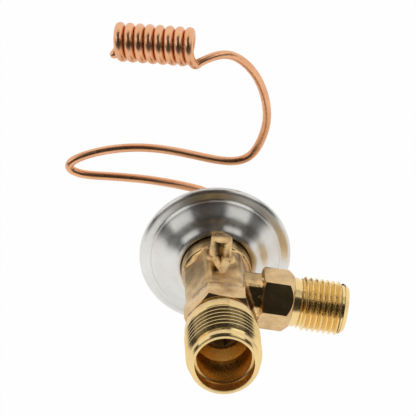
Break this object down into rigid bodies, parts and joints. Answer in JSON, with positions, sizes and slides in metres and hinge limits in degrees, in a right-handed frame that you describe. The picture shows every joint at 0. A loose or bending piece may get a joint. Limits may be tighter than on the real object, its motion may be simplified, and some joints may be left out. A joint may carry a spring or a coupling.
{
  "type": "thermostatic expansion valve",
  "caption": "Angle-type refrigerant expansion valve: forged brass body with two threaded ports, a pressed diaphragm capsule, and a bent copper capillary to a coiled sensing bulb.",
  "frame": {"origin": "centre of the flat mouth of the large outlet port", "axes": "+Z along the main axis out of the outlet port, +X parallel to the inlet port's axis and out of its mouth; the diaphragm capsule is at -Z"},
  "size_m": [0.0861, 0.0947, 0.0776],
  "materials": {
    "forged_brass": "satin, forged and turned",
    "turned_brass": "satin, turned",
    "hard_steel": "ground",
    "spring_steel": "drawn wire",
    "pressed_stainless": "semi-bright, pressed",
    "diaphragm_steel": "bright",
    "seal_rubber": "matt",
    "copper_tube": "satin, drawn",
    "strainer_gauze": "woven wire"
  },
  "bodies": {
    "valve": {"valve_body": "forged_brass", "valve_seat": "hard_steel", "superheat_spring": "spring_steel", "adjusting_nut": "turned_brass", "head_o_ring": "seal_rubber", "lower_housing": "pressed_stainless", "diaphragm": "diaphragm_steel", "upper_housing": "pressed_stainless", "capillary_ferrule": "turned_brass", "capillary_tube": "copper_tube", "sensing_bulb": "copper_tube", "strainer_ring": "turned_brass", "strainer_mesh": "strainer_gauze", "strainer_cap": "turned_brass"},
    "plunger": {"diaphragm_pad": "pressed_stainless", "push_rod_1": "hard_steel", "push_rod_2": "hard_steel", "push_rod_3": "hard_steel", "ball_carrier": "turned_brass", "valve_ball": "hard_steel"}
  },
  "joints": [
    {"name": "valve_lift", "type": "slide", "parent": "valve", "child": "plunger", "axis": [0, 0, 1], "range_m": [0, 0.0008], "stiffness_N_per_m": 400, "springref_m": -0.0002, "deforming": ["superheat_spring", "diaphragm"]}
  ]
}
